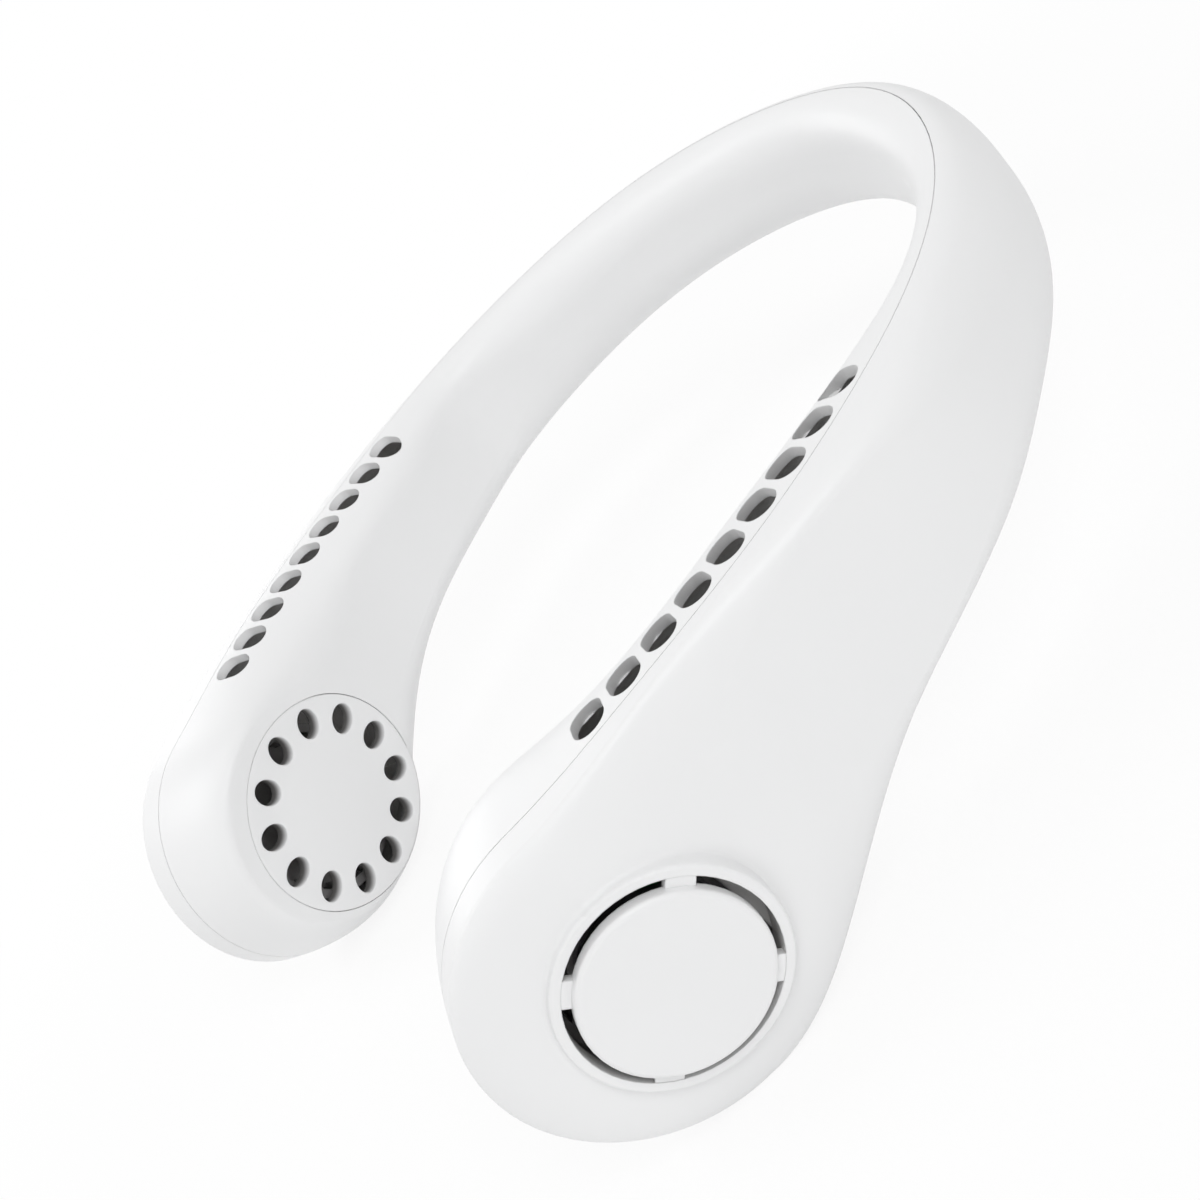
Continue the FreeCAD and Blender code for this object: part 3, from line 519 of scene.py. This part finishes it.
between_holes = Matrix.Rotation(math.pi / hole_count, 4, "Z")
bmesh.ops.transform(hook, matrix=between_holes, verts=hook.verts)
repeat_around(hook, hook_count)
hooks = bpy.data.meshes.new("grille_hooks")
hook.to_mesh(hooks)
hook.free()
grille.from_mesh(hooks)
bpy.data.meshes.remove(hooks)

seat = Matrix((to_first_hole, face_out.cross(to_first_hole), face_out)).transposed().to_4x4()
seat.translation = face_centre
bmesh.ops.transform(grille, matrix=seat, verts=grille.verts)


def grille_white(name, outward):
    """Satin white on the face and its lips, with painted shade darkening it down the holes and on the back.
    """
    # Painted shade: the colour turns dark grey over this depth below the face, down the holes.
    wall_shade = 0.0024
    painted_hole_shade = (0.17, 0.165, 0.163, 1)

    def near_face(places):
        sunk = face_centre.dot(face_out) - along(places, outward)
        return 1.0 - sunk.between(0.0, wall_shade)

    return satin_white(name, painted_hole_shade, near_face)


for side, way in (("right", 1.0), ("left", -1.0)):
    outward = Vector((way * face_out.x, face_out.y, face_out.z))
    bmesh.ops.scale(grille, vec=(way, 1.0, 1.0), verts=grille.verts)
    bmesh.ops.recalc_face_normals(grille, faces=grille.faces)
    air_grille = bpy.data.objects.new(side + "_air_grille", bpy.data.meshes.new(side + "_air_grille"))
    grille.to_mesh(air_grille.data)
    air_grille.data.shade_smooth()
    air_grille.data.set_sharp_from_angle(angle=crease_angle)
    air_grille.data.materials.append(grille_white(side + "_grille_white", outward))
    bpy.context.scene.collection.objects.link(air_grille)
    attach(air_grille, "housing")
    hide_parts(side + "_grille")
grille.free()


# Studio: a pale floor under the pods that turns white away from them, in a white room.
# Five round soft boxes light the fan plainly, and the camera stands where the photograph
# was taken from.


def shows_background(tree):
    """1 for the rays that show the background: to the camera, in gloss and through glass."""
    path = tree.nodes.new("ShaderNodeLightPath").outputs
    shown = Shade(tree, path["Is Camera Ray"])
    for kind in ("Is Glossy Ray", "Is Transmission Ray"):
        shown = shown.maths("MAXIMUM", shown, Shade(tree, path[kind]))
    return shown


def pale_floor():
    """Floor that keeps a share of the object's shadow near it and shows plain white further out."""
    shadow_reach = 0.16
    shadow_end = 0.30
    shadow_share = 0.12
    material, shader, places = new_finish("pale_floor", Base_Color=(0.9, 0.9, 0.9, 1), Roughness=0.8)
    distance = places.node("ShaderNodeVectorMath", {"operation": "LENGTH"}, 1, i0=places)
    whiteness = distance.between(shadow_reach, shadow_end) * shadow_share + (1.0 - shadow_share)
    tree = material.node_tree
    white = places.node("ShaderNodeEmission", {}, 0, Color=(1, 1, 1, 1), Strength=1.0)
    lit = Shade(tree, shader.outputs[0])
    share = shows_background(tree) * whiteness
    mixed = places.node("ShaderNodeMixShader", {}, 0, i0=share, i1=lit, i2=white)
    tree.links.new(mixed.socket, tree.nodes["Material Output"].inputs["Surface"])
    return material


floor_half = 30.0
ground = bmesh.new()
bmesh.ops.create_grid(ground, x_segments=1, y_segments=1, size=floor_half)
bmesh.ops.translate(ground, verts=ground.verts, vec=(0.0, 0.0, cad_box[0][2]))
floor = bpy.data.objects.new("floor", bpy.data.meshes.new("floor"))
ground.to_mesh(floor.data)
ground.free()
floor.data.materials.append(pale_floor())
bpy.context.scene.collection.objects.link(floor)

world = bpy.data.worlds.new("studio")
bpy.context.scene.world = world
world.use_nodes = True
sky = world.node_tree.nodes["Background"]
ambient = 0.50
strength = shows_background(world.node_tree) * (1.0 - ambient) + ambient
sky.inputs["Color"].default_value = (1, 1, 1, 1)
world.node_tree.links.new(strength.socket, sky.inputs["Strength"])


def soft_light(name, turn, rise, power):
    """Round soft box that faces the object, at a turn from +X and a rise over the floor in degrees."""
    size = 0.6
    distance = 1.2
    level = math.radians(rise)
    around = math.radians(turn)
    away = Vector((math.cos(around) * math.cos(level), math.sin(around) * math.cos(level), math.sin(level)))
    lamp = bpy.data.lights.new(name, "AREA")
    lamp.shape = "DISK"
    lamp.size = size
    lamp.energy = power
    holder = bpy.data.objects.new(name, lamp)
    holder.location = Vector((0.0, 0.0, cad_box[1][2] / 2.0)) + away * distance
    holder.rotation_euler = away.to_track_quat("Z", "Y").to_euler()
    bpy.context.scene.collection.objects.link(holder)


soft_light("key", turn=0.0, rise=50.0, power=4.1)
soft_light("overhead", turn=180.0, rise=80.0, power=0.9)
soft_light("front_fill", turn=225.0, rise=50.0, power=3.0)
soft_light("low_front", turn=315.0, rise=15.0, power=1.6)
soft_light("low_left", turn=180.0, rise=15.0, power=1.7)

lens = bpy.data.cameras.new("camera")
lens.lens = 50.497
lens.sensor_width = 36.0
lens.clip_start = 0.01
camera = bpy.data.objects.new("camera", lens)
camera.location = (0.27921, -0.11516, 0.17086)
camera.rotation_euler = [math.radians(turn) for turn in (55.5808, 41.1054, 45.0502)]
bpy.context.scene.collection.objects.link(camera)
bpy.context.scene.camera = camera
bpy.context.scene.view_settings.view_transform = "Standard"
